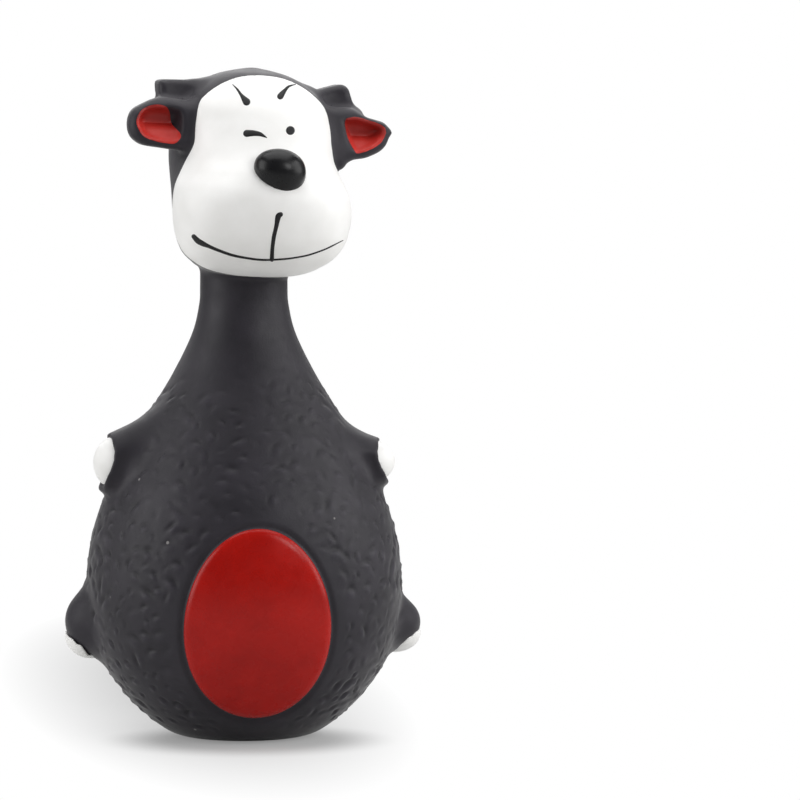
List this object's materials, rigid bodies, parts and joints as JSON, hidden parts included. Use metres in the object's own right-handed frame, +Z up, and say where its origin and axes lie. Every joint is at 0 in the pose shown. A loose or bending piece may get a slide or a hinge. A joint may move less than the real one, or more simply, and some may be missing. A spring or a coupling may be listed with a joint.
{
  "type": "squeaky dog toy",
  "caption": "Pear-shaped stuffed latex dog toy of a winking horned animal with stub limbs, a red belly that squeezes to squeak and a head on a flexible neck.",
  "frame": {"origin": "centre of the flat base that the toy stands on", "axes": "+Z up along the neck, -Y the way the belly faces, +X to the right of someone who looks at the face"},
  "size_m": [0.0692, 0.0556, 0.13],
  "materials": {
    "black_latex": "satin, finely pebbled",
    "white_latex": "satin",
    "red_latex": "satin",
    "ear_red": "satin",
    "nose_gloss": "glossy",
    "line_paint": "semi-gloss",
    "fibre_filling": "loose polyester fibre",
    "squeaker_plastic": "moulded, semi-gloss",
    "reed_film": "smooth film"
  },
  "bodies": {
    "body": {"body_skin": "black_latex", "body_filling": "fibre_filling", "squeaker_housing": "squeaker_plastic", "reed_block": "squeaker_plastic", "reed_clamp": "squeaker_plastic", "arm_left": "black_latex", "arm_right": "black_latex", "arm_hoof_left": "white_latex", "arm_hoof_right": "white_latex", "leg_left": "black_latex", "leg_right": "black_latex", "leg_hoof_left": "white_latex", "leg_hoof_right": "white_latex"},
    "head": {"head_skin": "black_latex", "head_filling": "fibre_filling", "face_coat": "white_latex", "nose": "nose_gloss", "brow_left": "line_paint", "brow_right": "line_paint", "eye_wink": "line_paint", "eye_dot": "line_paint", "muzzle_line": "line_paint", "mouth_line": "line_paint", "ear_left": "black_latex", "ear_right": "black_latex", "ear_lining_left": "ear_red", "ear_lining_right": "ear_red", "horn_left": "black_latex", "horn_right": "black_latex"},
    "belly": {"belly_coat": "red_latex"},
    "reed": {"reed": "reed_film"}
  },
  "joints": [
    {"name": "neck_bend", "type": "hinge", "parent": "body", "child": "head", "pos_m": [0, 0, 0.091], "axis": [1, 0, 0], "range_deg": [-12, 12], "stiffness_Nm_per_rad": 0.35},
    {"name": "belly_press", "type": "slide", "parent": "body", "child": "belly", "axis": [0, 1, 0], "range_m": [0, 0.007], "stiffness_N_per_m": 600, "deforming": ["body_skin", "body_filling"]},
    {"name": "reed_flap", "type": "hinge", "parent": "body", "child": "reed", "pos_m": [0, 0, 0.0106], "axis": [1, 0, 0], "range_deg": [-6, 2.5], "stiffness_Nm_per_rad": 0.0005}
  ]
}
